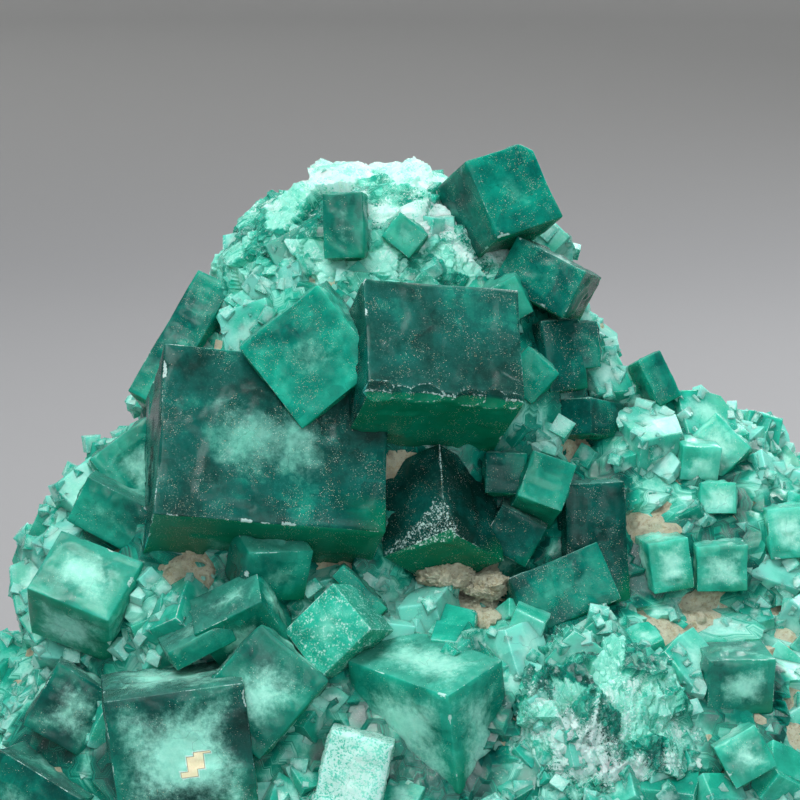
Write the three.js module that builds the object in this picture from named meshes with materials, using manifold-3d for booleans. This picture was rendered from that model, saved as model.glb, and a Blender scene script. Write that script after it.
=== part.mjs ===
// A specimen of green fluorite: a mound of tan rock, druses of small cubes over it, larger cubes
// grown on top of them, a cleaved cap, a fractured mass low on the front and a sawn flat base.
// Millimetres, +Z up. The display side faces -Y and the base lies on Z = 0.
import * as THREE from 'three';
import { mergeVertices } from 'three/addons/utils/BufferGeometryUtils.js';
import Module from 'manifold-3d';

const wasm = await Module();
wasm.setup();

// Driving dimensions.
const SEAM = 0.3; // clearance left wherever one piece has been cut to fit against another
const DRUSE_SKIN = [0.6, 2.4]; // the druse's inner and outer distance from the rock
const DRUSE_CUBES = 170; // small cubes tried over the whole druse
const DRUSE_CUBE_SIZE = [2.6, 4.6];
const ROCK_DETAIL = 6; // subdivision of the rock's icosahedron
const ROUGHNESS = 0.9; // height of the rock's unevenness
const HALL = 300; // side of the blocks that trim the base and divide the druse
const CENTRED = [0.5, 1.5, 0]; // moves the origin under the middle of the specimen

// The rock swells out of one heart as four overlapping lumps: centre and half-sizes of each.
const HEART = new THREE.Vector3(-6, 3, 30);
const LUMPS = [
  [[0, 1, 14], [56, 32, 25]], // broad foot
  [[-11, 6, 40], [25, 20, 32]], // tower
  [[12, 2, 29], [25, 17, 22.5]], // right shoulder
  [[-24, 1, 28], [24, 20, 23]], // left shoulder
];

const DEEP = { color: 0x0f5a4c, roughness: 0.28, metalness: 0 };
const ZONED = { color: 0x3f9c86, roughness: 0.3, metalness: 0 };
const PALE = { color: 0x7fc2b0, roughness: 0.35, metalness: 0 };
const CLEAVED = { color: 0xa9d6c8, roughness: 0.5, metalness: 0 };
const ROCK = { color: 0xc4bfa8, roughness: 0.9, metalness: 0 };

// Larger crystals, in the order in which they are cut: a later one gives way to an earlier one.
// [name, width depth height, centre, turn in degrees about x, y and z, material]
const CRYSTALS = [
  ['upper_cube', [16, 13, 12.6], [-7.6, -15, 58.8], [-34, -2, 13], DEEP],
  ['wedge_cube', [10.5, 10, 10.5], [-19, -13.5, 60], [-1, 51, -7], DEEP],
  ['great_cube', [23.2, 15, 18.2], [-24, -13.4, 48.9], [-31, 2, 9], DEEP],
  ['corner_cube', [8.5, 9.5, 10], [-6.5, -14, 43.5], [-41, -3, -40], DEEP],
  ['light_cube', [5, 8, 5.5], [3.5, -13.5, 46], [-31, 18, 10], ZONED],
  ['beside_cube', [4.5, 7, 4.5], [0, -12, 47.5], [-12, 2, 1], DEEP],
  ['shard_cube', [5.5, 6, 5], [1, -13, 42], [4, 28, -4], DEEP],
  ['teal_slab', [10, 7, 6.5], [5.5, -15.5, 36], [-18, -23, 7], DEEP],
  ['crown_cube', [8, 9.5, 9], [-0.5, -1.5, 73.5], [-18, -23, 21], DEEP],
  ['kite_cube', [8.5, 7, 5.5], [4.5, -4, 66], [-5, 27, -19], DEEP],
  ['mint_cube', [4, 6, 4.5], [0.5, -5.5, 64.5], [2, -28, -2], ZONED],
  ['small_right_cube', [4.5, 5, 4.5], [2.5, -9, 57], [-10, 42, 0], DEEP],
  ['mid_right_cube', [4.5, 8, 5], [7.5, -3, 59], [-10, -5, 1], DEEP],
  ['dark_right_cube', [5, 7, 4], [8.5, -6.5, 52], [-16, 0, -32], DEEP],
  ['shoulder_cube', [3, 5, 5.5], [15.5, -1, 55], [-11, -26, 14], DEEP],
  ['left_sliver', [4.5, 8, 15], [-32.3, 2.5, 57.7], [-22, 29, -12], DEEP],
  ['left_upper_cube', [8, 7, 8], [-37, -4, 46.5], [-9, -38, 10], ZONED],
  ['left_middle_cube', [8.5, 8, 5.5], [-39, -8.5, 43], [2, 27, -7], ZONED],
  ['left_low_cube', [9.5, 8, 8.5], [-42, -13, 35], [44, 0, -25], ZONED],
  ['zoned_cube', [14, 14, 13.5], [-32, -27.5, 23.5], [-2, -7, 4], ZONED],
  ['zoned_turned_cube', [9, 12, 10.5], [-24, -25, 28.5], [-10, 41, -1], ZONED],
  ['small_zoned_cube', [7, 8, 7.5], [-43.5, -16, 24.5], [-9, 30, 3], ZONED],
  ['low_corner_cube', [10.5, 9, 10], [-47, -19, 14.5], [1, 27, -21], ZONED],
  ['block_cube', [13.5, 8.5, 11.5], [-7.5, -25.5, 26.5], [16, -6, -42], ZONED],
  ['frosted_block', [6.5, 8, 8.5], [-15, -31.5, 21.5], [-9, 14, -1], PALE],
  ['frosted_wedge', [7.5, 6, 6.5], [-16.5, -23.5, 34], [-34, -37, -31], PALE],
  ['roof_cube', [8, 7.5, 5.5], [-26, -22.5, 34.5], [-61, -7, -28], ZONED],
  ['low_slab', [7, 7, 2.5], [-30.5, -23, 33], [5, -25, 13], ZONED],
  ['leaning_cube', [7, 6, 6], [-23.5, -19.5, 40], [17, 9, 19], ZONED],
  ['green_slab', [6.5, 6, 2], [-14.5, -19, 37], [-9, 45, 0], DEEP],
  ['square_top_cube', [4.5, 5, 7], [-16, -4.5, 71.5], [-10, -2, -5], ZONED],
  ['tilted_top_cube', [4, 4, 3.5], [-10, -4.5, 70.5], [-11, 39, -1], ZONED],
  ['deep_side_cube', [6.5, 8, 12.5], [8.5, -12, 40.5], [-10, -3, 11], DEEP],
  ['deep_upper_cube', [4.5, 7, 7.5], [5, -4.5, 58], [-13, -7, 20], DEEP],
  ['pale_shoulder_cube', [4.5, 5, 4], [19.5, -6, 48], [5, 6, 11], PALE],
  ['pale_tilted_cube', [5.5, 5, 5], [22, -3.5, 48.5], [-10, 45, -9], PALE],
  ['pale_low_cube', [4, 4, 3.5], [21.5, -9.5, 44.5], [-12, 0, 0], PALE],
  ['pale_round_cube', [4.5, 6, 5.5], [16, -14.5, 39], [-2, -8, 10], PALE],
  ['wide_pale_cube', [5.5, 5, 5], [21.5, -13.5, 38.5], [-2, -1, 4], PALE],
  ['dark_low_cube', [4.5, 5, 4], [14, -22.5, 29.5], [9, -8, 20], DEEP],
  ['square_right_cube', [7, 6, 6], [22.5, -22.5, 29], [6, 2, 10], PALE],
  ['low_right_cube', [5, 6, 5], [23, -27.5, 22.5], [-8, -29, 3], PALE],
  ['edge_cube', [4.5, 6, 5.5], [28.5, -9, 41], [-7, -5, 3], PALE],
  // On the sides and the back.
  ['far_right_cube', [7, 7, 6.5], [41, -9, 30], [14, 22, 30], ZONED],
  ['far_right_low_cube', [8, 7, 7], [46, -15, 15], [-12, -18, 24], ZONED],
  ['far_left_cube', [8, 8, 8], [-53, -4, 17], [20, -16, 35], ZONED],
  ['back_great_cube', [12, 10, 11], [-18, 25, 51], [24, 12, -14], DEEP],
  ['back_left_cube', [8, 7, 8], [-36, 17, 33], [-16, 30, 28], ZONED],
  ['back_right_cube', [7, 7, 7], [17, 18, 36], [22, -24, 16], ZONED],
];

// Druses: name and the x and y range that each one keeps to.
const DRUSES = [
  ['druse_front_left', [-70, -15.2], [-60, 9]],
  ['druse_front_right', [-14.8, 25.8], [-60, 9]],
  ['druse_right', [26.2, 70], [-60, 24]],
  ['druse_back_left', [-70, -26], [9.4, 60]],
];
const DRUSE_HEIGHT = [2, 69]; // the druses leave the foot and the cap bare

// Repeatable numbers between 0 and 1.
function dice(seed) {
  let state = seed;
  return () => {
    state = (state + 0x6d2b79f5) | 0;
    let mixed = Math.imul(state ^ (state >>> 15), 1 | state);
    mixed = (mixed + Math.imul(mixed ^ (mixed >>> 7), 61 | mixed)) ^ mixed;
    return ((mixed ^ (mixed >>> 14)) >>> 0) / 4294967296;
  };
}

function solidOf(geometry) {
  geometry.deleteAttribute('normal');
  geometry.deleteAttribute('uv');
  const welded = mergeVertices(geometry, 1e-4);
  return new wasm.Manifold(new wasm.Mesh({
    numProp: 3,
    vertProperties: welded.attributes.position.array,
    triVerts: Uint32Array.from(welded.index.array),
  }));
}

function geometryOf(solid) {
  const { vertProperties, triVerts } = solid.getMesh();
  const geometry = new THREE.BufferGeometry();
  geometry.setAttribute('position', new THREE.BufferAttribute(vertProperties, 3));
  geometry.setIndex(new THREE.BufferAttribute(triVerts, 1));
  geometry.computeVertexNormals();
  return geometry;
}

// The largest connected piece of a cut solid, without edges too short to matter.
function mainPiece(solid) {
  const pieces = solid.simplify(0.02).decompose();
  return pieces.reduce((best, piece) => (piece.volume() > best.volume() ? piece : best));
}

function boxSolid(size, centre, turn, grow = 0) {
  const geometry = new THREE.BoxGeometry(...size.map((side) => side + 2 * grow));
  const euler = new THREE.Euler(...turn.map(THREE.MathUtils.degToRad));
  geometry.applyMatrix4(new THREE.Matrix4().makeRotationFromEuler(euler));
  geometry.translate(...centre);
  return solidOf(geometry);
}

function blockSolid(low, high) {
  const size = high.map((value, axis) => value - low[axis]);
  return boxSolid(size, high.map((value, axis) => (value + low[axis]) / 2), [0, 0, 0]);
}

// Distance from the heart to the rock's surface along a direction.
function reach(direction) {
  let farthest = 0;
  for (const [centre, half] of LUMPS) {
    const start = HEART.clone().sub(new THREE.Vector3(...centre));
    let a = 0;
    let b = 0;
    let c = -1;
    for (let axis = 0; axis < 3; axis += 1) {
      const step = direction.getComponent(axis) / half[axis];
      const offset = start.getComponent(axis) / half[axis];
      a += step * step;
      b += step * offset;
      c += offset * offset;
    }
    farthest = Math.max(farthest, (-b + Math.sqrt(b * b - a * c)) / a);
  }
  const { x, y, z } = direction;
  const waves = Math.sin(9 * x + 5 * z) + Math.sin(11 * y - 7 * x + 2) + Math.sin(13 * z + 6 * y);
  return farthest + ROUGHNESS * (waves / 2 + Math.sin(23 * x + 17 * y - 19 * z) / 2);
}

function rockSolid(grow) {
  const geometry = new THREE.IcosahedronGeometry(1, ROCK_DETAIL);
  const points = geometry.attributes.position;
  const point = new THREE.Vector3();
  for (let i = 0; i < points.count; i += 1) {
    point.fromBufferAttribute(points, i).normalize();
    point.multiplyScalar(reach(point) + grow).add(HEART);
    points.setXYZ(i, point.x, point.y, point.z);
  }
  return solidOf(geometry);
}

// A rough ellipsoid whose surface steps in and out like cleaved blocks.
function massSolid(centre, half, detail, step, grow = 0) {
  const geometry = new THREE.IcosahedronGeometry(1, detail);
  const points = geometry.attributes.position;
  for (let i = 0; i < points.count; i += 1) {
    const [x, y, z] = [points.getX(i), points.getY(i), points.getZ(i)];
    const blocks = Math.sin(7 * x - 3 * z + 1) + Math.sin(8 * y + 5 * z) + Math.sin(9 * z - 4 * x);
    const swell = 1 + step * Math.round(blocks);
    points.setXYZ(
      i,
      centre[0] + x * (half[0] * swell + grow),
      centre[1] + y * (half[1] * swell + grow),
      centre[2] + z * (half[2] * swell + grow),
    );
  }
  return solidOf(geometry);
}

const MASSES = [
  ['cleaved_cap', [-12.5, 6.5, 63.5], [18, 13.5, 13], 4, 0.035, CLEAVED],
  ['fractured_mass', [8.5, -22, 21.5], [12.5, 10, 12.5], 4, 0.045, CLEAVED],
  ['tan_pebble', [-6, -15.5, 38], [2.7, 2.4, 1.6], 1, 0.02, ROCK],
  ['small_tan_pebble', [-1.8, -15.6, 36.8], [2, 2, 1.4], 1, 0.02, ROCK],
];

const specimen = new THREE.Group();
specimen.position.set(...CENTRED);

function place(name, solid, look) {
  const mesh = new THREE.Mesh(geometryOf(mainPiece(solid)), new THREE.MeshStandardMaterial(look));
  mesh.material.flatShading = true;
  mesh.name = name;
  specimen.add(mesh);
}

const underBase = blockSolid([-HALL, -HALL, -HALL], [HALL, HALL, 0]);
const underSeam = blockSolid([-HALL, -HALL, -HALL], [HALL, HALL, 0.6]);

// Crystals first: each is cut by the grown shapes of those before it.
const grown = [];
for (const [name, size, centre, turn, look] of CRYSTALS) {
  let crystal = boxSolid(size, centre, turn).subtract(underSeam);
  for (const other of grown) crystal = crystal.subtract(other);
  grown.push(boxSolid(size, centre, turn, SEAM));
  place(name, crystal, look);
}

const inFront = (solid) => grown.reduce((left, other) => left.subtract(other), solid);
const rockWithSeam = rockSolid(DRUSE_SKIN[0]);
place('rock', inFront(rockSolid(0).subtract(underBase)), ROCK);

for (const [name, centre, half, detail, step, look] of MASSES) {
  place(name, inFront(massSolid(centre, half, detail, step)).subtract(rockWithSeam), look);
  grown.push(massSolid(centre, half, detail, step, SEAM));
}

// The druse is a skin over the rock with small cubes seated in it, divided into its four areas.
const roll = dice(41);
let druse = rockSolid(DRUSE_SKIN[1]);
for (let i = 0; i < DRUSE_CUBES; i += 1) {
  const height = 1 - (2 * (i + 0.5)) / DRUSE_CUBES;
  const round = i * Math.PI * (3 - Math.sqrt(5));
  const level = Math.sqrt(1 - height * height);
  const direction = new THREE.Vector3(level * Math.cos(round), level * Math.sin(round), height);
  const side = THREE.MathUtils.lerp(...DRUSE_CUBE_SIZE, roll());
  const turn = [roll() * 90, roll() * 90, roll() * 90];
  const seat = direction.clone().multiplyScalar(reach(direction) + DRUSE_SKIN[1] - 0.1 * side);
  const faces = [side, side * (0.8 + 0.4 * roll()), side * (0.8 + 0.4 * roll())];
  druse = druse.add(boxSolid(faces, seat.add(HEART).toArray(), turn));
}
druse = inFront(druse.subtract(rockWithSeam));
for (const [name, [left, right], [front, back]] of DRUSES) {
  const [low, high] = DRUSE_HEIGHT;
  place(name, druse.intersect(blockSolid([left, front, low], [right, back, high])), PALE);
}

export default specimen;
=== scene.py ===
import math

import bmesh
import bpy
import numpy as np
from mathutils import Euler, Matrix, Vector
from mathutils.kdtree import KDTree


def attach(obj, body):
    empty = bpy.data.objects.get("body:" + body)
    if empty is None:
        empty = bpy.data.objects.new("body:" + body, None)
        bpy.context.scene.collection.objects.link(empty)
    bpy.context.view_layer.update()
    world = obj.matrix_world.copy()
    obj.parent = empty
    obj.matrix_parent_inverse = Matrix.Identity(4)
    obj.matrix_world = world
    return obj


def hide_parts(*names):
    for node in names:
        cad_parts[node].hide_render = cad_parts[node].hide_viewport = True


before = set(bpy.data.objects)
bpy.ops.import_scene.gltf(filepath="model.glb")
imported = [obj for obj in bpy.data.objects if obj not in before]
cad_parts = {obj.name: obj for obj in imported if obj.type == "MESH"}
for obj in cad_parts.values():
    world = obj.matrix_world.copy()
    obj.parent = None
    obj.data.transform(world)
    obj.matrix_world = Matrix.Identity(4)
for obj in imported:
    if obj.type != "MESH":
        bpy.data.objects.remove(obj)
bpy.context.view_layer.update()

bl_info = {
    "name": "Fluorite specimen",
    "version": (1, 0, 0),
    "blender": (4, 5, 0),
    "location": "3D View > Sidebar > Fluorite",
    "description": "Builds a specimen of green zoned fluorite cubes on a druse over tan rock",
    "category": "Add Mesh",
}

# Lengths in the tables are millimetres in the rock's own frame. CENTRED moves that frame so that
# the origin lies under the middle of the specimen.
MM = 0.001
CENTRED = np.array([0.5, 1.5, 0.0])

# The rock's shape: overlapping lumps swelling out of one heart. Centre and half-sizes of each.
HEART = np.array([-6.0, 3.0, 30.0])
LUMPS = (
    ((0, 1, 14), (56, 32, 25)),
    ((-11, 6, 40), (25, 20, 32)),
    ((12, 2, 29), (25, 17, 22.5)),
    ((-24, 1, 28), (24, 20, 23)),
)
ROUGHNESS = 0.9

# Larger crystals. Name; width, depth and height; centre; turn in degrees about x, y and z (as the
# matrix product X Y Z); then shade (0 darkest green to 1 mint), cloud (how milky the heart is),
# wear (frosting on edges and corners; over 1 the faces are frosted too) and the material slot.
CRYSTALS = (
    ("upper_cube", (16, 13, 12.6), (-7.6, -15, 58.8), (-34, -2, 13), 0.16, 0.0, 0.9, "fluorite_deep"),
    ("wedge_cube", (10.5, 10, 10.5), (-19, -13.5, 60), (-1, 51, -7), 0.54, 0.4, 0.6, "fluorite_deep"),
    ("great_cube", (23.2, 15, 18.2), (-24, -13.4, 48.9), (-31, 2, 9), 0.17, 0.3, 0.8,
     "fluorite_deep"),
    ("corner_cube", (8.5, 9.5, 10), (-6.5, -14, 43.5), (-41, -3, -40), 0.06, 0.0, 1.0, "fluorite_deep"),
    ("light_cube", (5, 8, 5.5), (3.5, -13.5, 46), (-31, 18, 10), 0.62, 0.15, 0.5, "fluorite_zoned"),
    ("beside_cube", (4.5, 7, 4.5), (0, -12, 47.5), (-12, 2, 1), 0.36, 0.1, 0.5, "fluorite_deep"),
    ("shard_cube", (5.5, 6, 5), (1, -13, 42), (4, 28, -4), 0.16, 0.0, 1.0, "fluorite_deep"),
    ("teal_slab", (10, 7, 6.5), (5.5, -15.5, 36), (-18, -23, 7), 0.3, 0.1, 0.7, "fluorite_deep"),
    ("crown_cube", (8, 9.5, 9), (-0.5, -1.5, 73.5), (-18, -23, 21), 0.34, 0.1, 0.5,
     "fluorite_deep"),
    ("kite_cube", (8.5, 7, 5.5), (4.5, -4, 66), (-5, 27, -19), 0.19, 0.05, 0.7, "fluorite_deep"),
    ("mint_cube", (4, 6, 4.5), (0.5, -5.5, 64.5), (2, -28, -2), 0.66, 0.2, 0.5, "fluorite_zoned"),
    ("small_right_cube", (4.5, 5, 4.5), (2.5, -9, 57), (-10, 42, 0), 0.38, 0.1, 0.4,
     "fluorite_deep"),
    ("mid_right_cube", (4.5, 8, 5), (7.5, -3, 59), (-10, -5, 1), 0.3, 0.1, 0.4, "fluorite_deep"),
    ("dark_right_cube", (5, 7, 4), (8.5, -6.5, 52), (-16, 0, -32), 0.22, 0.0, 0.5, "fluorite_deep"),
    ("shoulder_cube", (3, 5, 5.5), (15.5, -1, 55), (-11, -26, 14), 0.45, 0.1, 0.5, "fluorite_deep"),
    ("left_sliver", (4.5, 8, 15), (-32.3, 2.5, 57.7), (-22, 29, -12), 0.42, 0.1, 0.4, "fluorite_deep"),
    ("left_upper_cube", (8, 7, 8), (-37, -4, 46.5), (-9, -38, 10), 0.6, 0.65, 0.5,
     "fluorite_zoned"),
    ("left_middle_cube", (8.5, 8, 5.5), (-39, -8.5, 43), (2, 27, -7), 0.5, 0.35, 0.5,
     "fluorite_zoned"),
    ("left_low_cube", (9.5, 8, 8.5), (-42, -13, 35), (44, 0, -25), 0.66, 0.8, 0.5,
     "fluorite_zoned"),
    ("zoned_cube", (14, 14, 13.5), (-32, -27.5, 23.5), (-2, -7, 4), 0.3, 1.0, 0.7, "fluorite_zoned"),
    ("zoned_turned_cube", (9, 12, 10.5), (-24, -25, 28.5), (-10, 41, -1), 0.5, 0.9, 0.5,
     "fluorite_zoned"),
    ("small_zoned_cube", (7, 8, 7.5), (-43.5, -16, 24.5), (-9, 30, 3), 0.36, 0.9, 0.5,
     "fluorite_zoned"),
    ("low_corner_cube", (10.5, 9, 10), (-47, -19, 14.5), (1, 27, -21), 0.34, 0.4, 0.8,
     "fluorite_zoned"),
    ("block_cube", (13.5, 8.5, 11.5), (-7.5, -25.5, 26.5), (16, -6, -42), 0.66, 1.0, 0.6,
     "fluorite_zoned"),
    ("frosted_block", (6.5, 8, 8.5), (-15, -31.5, 21.5), (-9, 14, -1), 0.85, 0.7, 1.6,
     "fluorite_pale"),
    ("frosted_wedge", (7.5, 6, 6.5), (-16.5, -23.5, 34), (-34, -37, -31), 0.7, 0.4, 1.35,
     "fluorite_pale"),
    ("roof_cube", (8, 7.5, 5.5), (-26, -22.5, 34.5), (-61, -7, -28), 0.5, 0.75, 0.5,
     "fluorite_zoned"),
    ("low_slab", (7, 7, 2.5), (-30.5, -23, 33), (5, -25, 13), 0.46, 0.4, 0.6, "fluorite_zoned"),
    ("leaning_cube", (7, 6, 6), (-23.5, -19.5, 40), (17, 9, 19), 0.5, 0.3, 0.8, "fluorite_zoned"),
    ("green_slab", (6.5, 6, 2), (-14.5, -19, 37), (-9, 45, 0), 0.4, 0.1, 0.6, "fluorite_deep"),
    ("square_top_cube", (4.5, 5, 7), (-16, -4.5, 71.5), (-10, -2, -5), 0.56, 0.5, 0.6,
     "fluorite_zoned"),
    ("tilted_top_cube", (4, 4, 3.5), (-10, -4.5, 70.5), (-11, 39, -1), 0.6, 0.3, 0.6,
     "fluorite_zoned"),
    ("deep_side_cube", (6.5, 8, 12.5), (8.5, -12, 40.5), (-10, -3, 11), 0.14, 0.0, 0.4,
     "fluorite_deep"),
    ("deep_upper_cube", (4.5, 7, 7.5), (5, -4.5, 58), (-13, -7, 20), 0.22, 0.0, 0.4,
     "fluorite_deep"),
    ("pale_shoulder_cube", (4.5, 5, 4), (19.5, -6, 48), (5, 6, 11), 0.85, 0.9, 0.5,
     "fluorite_pale"),
    ("pale_tilted_cube", (5.5, 5, 5), (22, -3.5, 48.5), (-10, 45, -9), 0.74, 0.8, 0.6,
     "fluorite_pale"),
    ("pale_low_cube", (4, 4, 3.5), (21.5, -9.5, 44.5), (-12, 0, 0), 0.74, 0.8, 0.5, "fluorite_pale"),
    ("pale_round_cube", (4.5, 6, 5.5), (16, -14.5, 39), (-2, -8, 10), 0.76, 1.0, 0.5,
     "fluorite_pale"),
    ("wide_pale_cube", (5.5, 5, 5), (21.5, -13.5, 38.5), (-2, -1, 4), 0.7, 0.9, 0.6,
     "fluorite_pale"),
    ("dark_low_cube", (4.5, 5, 4), (14, -22.5, 29.5), (9, -8, 20), 0.34, 0.1, 0.6,
     "fluorite_deep"),
    ("square_right_cube", (7, 6, 6), (22.5, -22.5, 29), (6, 2, 10), 0.46, 0.7, 0.6,
     "fluorite_pale"),
    ("low_right_cube", (5, 6, 5), (23, -27.5, 22.5), (-8, -29, 3), 0.72, 0.9, 0.6,
     "fluorite_pale"),
    ("edge_cube", (4.5, 6, 5.5), (28.5, -9, 41), (-7, -5, 3), 0.74, 0.8, 0.6, "fluorite_pale"),
    ("far_right_cube", (7, 7, 6.5), (41, -9, 30), (14, 22, 30), 0.44, 0.7, 0.6, "fluorite_zoned"),
    ("far_right_low_cube", (8, 7, 7), (46, -15, 15), (-12, -18, 24), 0.5, 0.8, 0.6,
     "fluorite_zoned"),
    ("far_left_cube", (8, 8, 8), (-53, -4, 17), (20, -16, 35), 0.5, 0.7, 0.6, "fluorite_zoned"),
    ("back_great_cube", (12, 10, 11), (-18, 25, 51), (24, 12, -14), 0.32, 0.3, 0.7,
     "fluorite_deep"),
    ("back_left_cube", (8, 7, 8), (-36, 17, 33), (-16, 30, 28), 0.46, 0.7, 0.6, "fluorite_zoned"),
    ("back_right_cube", (7, 7, 7), (17, 18, 36), (22, -24, 16), 0.44, 0.7, 0.6, "fluorite_zoned"),
)

# Corners ground off flat: crystal, direction out of the crystal's own corner, share of it kept.
FLATS = {
    "corner_cube": (((0.2, -1.0, -0.55), 0.86),),
    "crown_cube": (((1.0, -0.2, 1.0), 0.95),),
}
# Crystals whose lower front edge has broken away in a row of shells: how many.
SHELLS = {"upper_cube": 7}
# Stone showing through a crystal's front: crystal, then x, z and half-sizes on that face.
WINDOWS = {"zoned_cube": (1.2, -0.6, 1.5, 1.2)}

# Druses: name, x range, y range and seed. Behind DRUSE_BACK they keep to the two sides.
DRUSE_SIDE, DRUSE_BACK, DRUSE_RIGHT_BACK = 26, 9.2, 24
DRUSES = (
    ("druse_front_left", (-70, -15), (-60, DRUSE_BACK), 11),
    ("druse_front_right", (-15, DRUSE_SIDE), (-60, DRUSE_BACK), 12),
    ("druse_right", (DRUSE_SIDE, 70), (-60, DRUSE_RIGHT_BACK), 13),
    ("druse_back_left", (-70, -DRUSE_SIDE), (DRUSE_BACK, 60), 14),
)
DRUSE_HEIGHT = (1.5, 69)

# Places on the front where the rock shows: x, z and radius.
BARE = (
    (-10.5, 47, 3.2), (-18, 67, 2.6), (-10.5, 68, 1.6), (-3.5, 67, 1.8), (-31.5, 38, 3),
    (-17, 40, 2.5), (20, 34, 2.6), (27, 32, 2.3), (16, 32, 1.6), (28.5, 26, 1.8), (14.5, 24.5, 2),
    (13.5, 42, 1.6), (7, 49.5, 1.8), (-3.5, 37, 4.2),
)

# Broken masses: name, centre, half-sizes, seed, the direction that is frosted white, how much
# finer the breakage runs along x, y and z, how steep it is, and how pale and milky the body is.
MASSES = (
    ("cleaved_cap", (-12.5, 6.5, 63.5), (17.6, 13.1, 12.6), 21, (0.25, -0.15, 0.9), (1, 1, 1), 0.17, 0.7),
    ("fractured_mass", (8.5, -22, 21.5), (12, 9.6, 12), 22, (-0.1, -1.0, -0.15), (1.5, 1, 0.8),
     0.27, 0.55),
)
PEBBLES = (
    ("tan_pebble", (-6, -15.5, 38), (2.7, 2.4, 1.6), 31),
    ("small_tan_pebble", (-1.8, -15.6, 36.8), (2, 2, 1.4), 32),
)


# ---------------------------------------------------------------- shapes as arrays of points


def lean(values):
    """Rotation matrix of a turn about x, then y, then z, each about the turned axes."""
    return np.array(Euler([math.radians(v) for v in values], "ZYX").to_matrix())


def waves(points, pitch, seed, terms=9):
    """A smooth field between about -1 and 1, uneven at the scale of pitch."""
    rng = np.random.default_rng(seed)
    ways = rng.normal(size=(terms, 3))
    ways *= (2 * math.pi / pitch) * rng.uniform(0.6, 1.6, (terms, 1)) / np.linalg.norm(
        ways, axis=1, keepdims=True)
    return np.sin(points @ ways.T + rng.uniform(0, 2 * math.pi, terms)).mean(1) * 2


def blocks(points, cell, seed):
    """A field with one random value, 0 to 1, in each box of the given cell sizes."""
    index = np.floor(points / np.array(cell) + 0.13)
    mixed = np.sin(index @ np.array([12.9898, 78.233, 37.719]) + seed) * 43758.5453
    return mixed - np.floor(mixed)


def smooth(values, low, high):
    part = np.clip((values - low) / (high - low), 0, 1)
    return part * part * (3 - 2 * part)


def facets(points, count, tilt, rise, seed):
    """Heights of broken faces: each point takes the leaning plane of the seat nearest to it."""
    rng = np.random.default_rng(seed)
    seats = points[rng.choice(len(points), min(count, len(points)), replace=False)]
    tree = KDTree(len(seats))
    for index, seat in enumerate(seats):
        tree.insert(seat, index)
    tree.balance()
    near = np.array([tree.find(point)[1] for point in points])
    tilts = rng.normal(size=(len(seats), 3)) * tilt
    rises = rng.uniform(-rise, rise, len(seats))
    return ((points - seats[near]) * tilts[near]).sum(1) + rises[near], rng.random(len(seats))[near]


def clear_of_crystals(points, gap):
    """0 where a point lies in or just outside a larger crystal, rising to 1 at gap from it."""
    free = np.ones(len(points))
    for _, size, centre, turn, *_ in CRYSTALS:
        out = np.abs((points - centre) @ lean(turn)) - np.array(size) / 2
        free = np.minimum(free, smooth(np.linalg.norm(np.maximum(out, 0), axis=1), 0.2, gap))
    return free


def bare_spots(points):
    """1 where the front is named as bare rock."""
    bare = np.zeros(len(points))
    for x, z, radius in BARE:
        away = np.hypot(points[:, 0] - x, points[:, 2] - z) + 0.5 * waves(points, 2.5, 75)
        bare = np.maximum(bare, 1 - smooth(away, 0.75 * radius, 1.15 * radius))
    return bare * (points[:, 1] < 5)


def sphere(level):
    """Unit sphere of even triangles: points and faces."""
    mesh = bmesh.new()
    bmesh.ops.create_icosphere(mesh, subdivisions=level, radius=1)
    points = np.array([vert.co for vert in mesh.verts])
    faces = np.array([[vert.index for vert in face.verts] for face in mesh.faces])
    mesh.free()
    return points, faces


def reach(ways):
    """Distance from the heart to the rock's surface along each direction."""
    farthest = np.zeros(len(ways))
    for centre, half in LUMPS:
        start = (HEART - centre) / half
        step = ways / half
        a, b, c = (step * step).sum(1), step @ start, start @ start - 1
        farthest = np.maximum(farthest, (-b + np.sqrt(b * b - a * c)) / a)
    x, y, z = ways.T
    swell = np.sin(9 * x + 5 * z) + np.sin(11 * y - 7 * x + 2) + np.sin(13 * z + 6 * y)
    return farthest + ROUGHNESS * (swell + np.sin(23 * x + 17 * y - 19 * z)) / 2


def cube_shell(half, step, bevel):
    """Points on a box's surface, closer together at its edges, and its quads facing out."""
    lines = []
    for size in half:
        inner = size - bevel
        between = np.linspace(-inner, inner, max(2, int(round(2 * inner / step)) + 1))
        rim = inner + 0.6 * bevel
        lines.append(np.concatenate([[-size, -rim], between, [rim, size]]))
    points, quads, base = [], [], 0
    for axis in range(3):
        u, v = (axis + 1) % 3, (axis + 2) % 3
        for side in (-1, 1):
            grid = np.empty((len(lines[u]), len(lines[v]), 3))
            grid[..., axis] = side * half[axis]
            grid[..., u] = lines[u][:, None]
            grid[..., v] = lines[v][None, :]
            ids = base + np.arange(grid[..., 0].size).reshape(grid.shape[:2])
            corners = [ids[:-1, :-1], ids[1:, :-1], ids[1:, 1:], ids[:-1, 1:]]
            if side < 0:
                corners.reverse()
            points.append(grid.reshape(-1, 3))
            quads.append(np.stack([c.ravel() for c in corners], 1))
            base += ids.size
    points = np.concatenate(points)
    _, first, where = np.unique(np.round(points, 5), axis=0, return_index=True, return_inverse=True)
    return points[first], where.ravel()[np.concatenate(quads)]


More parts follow.
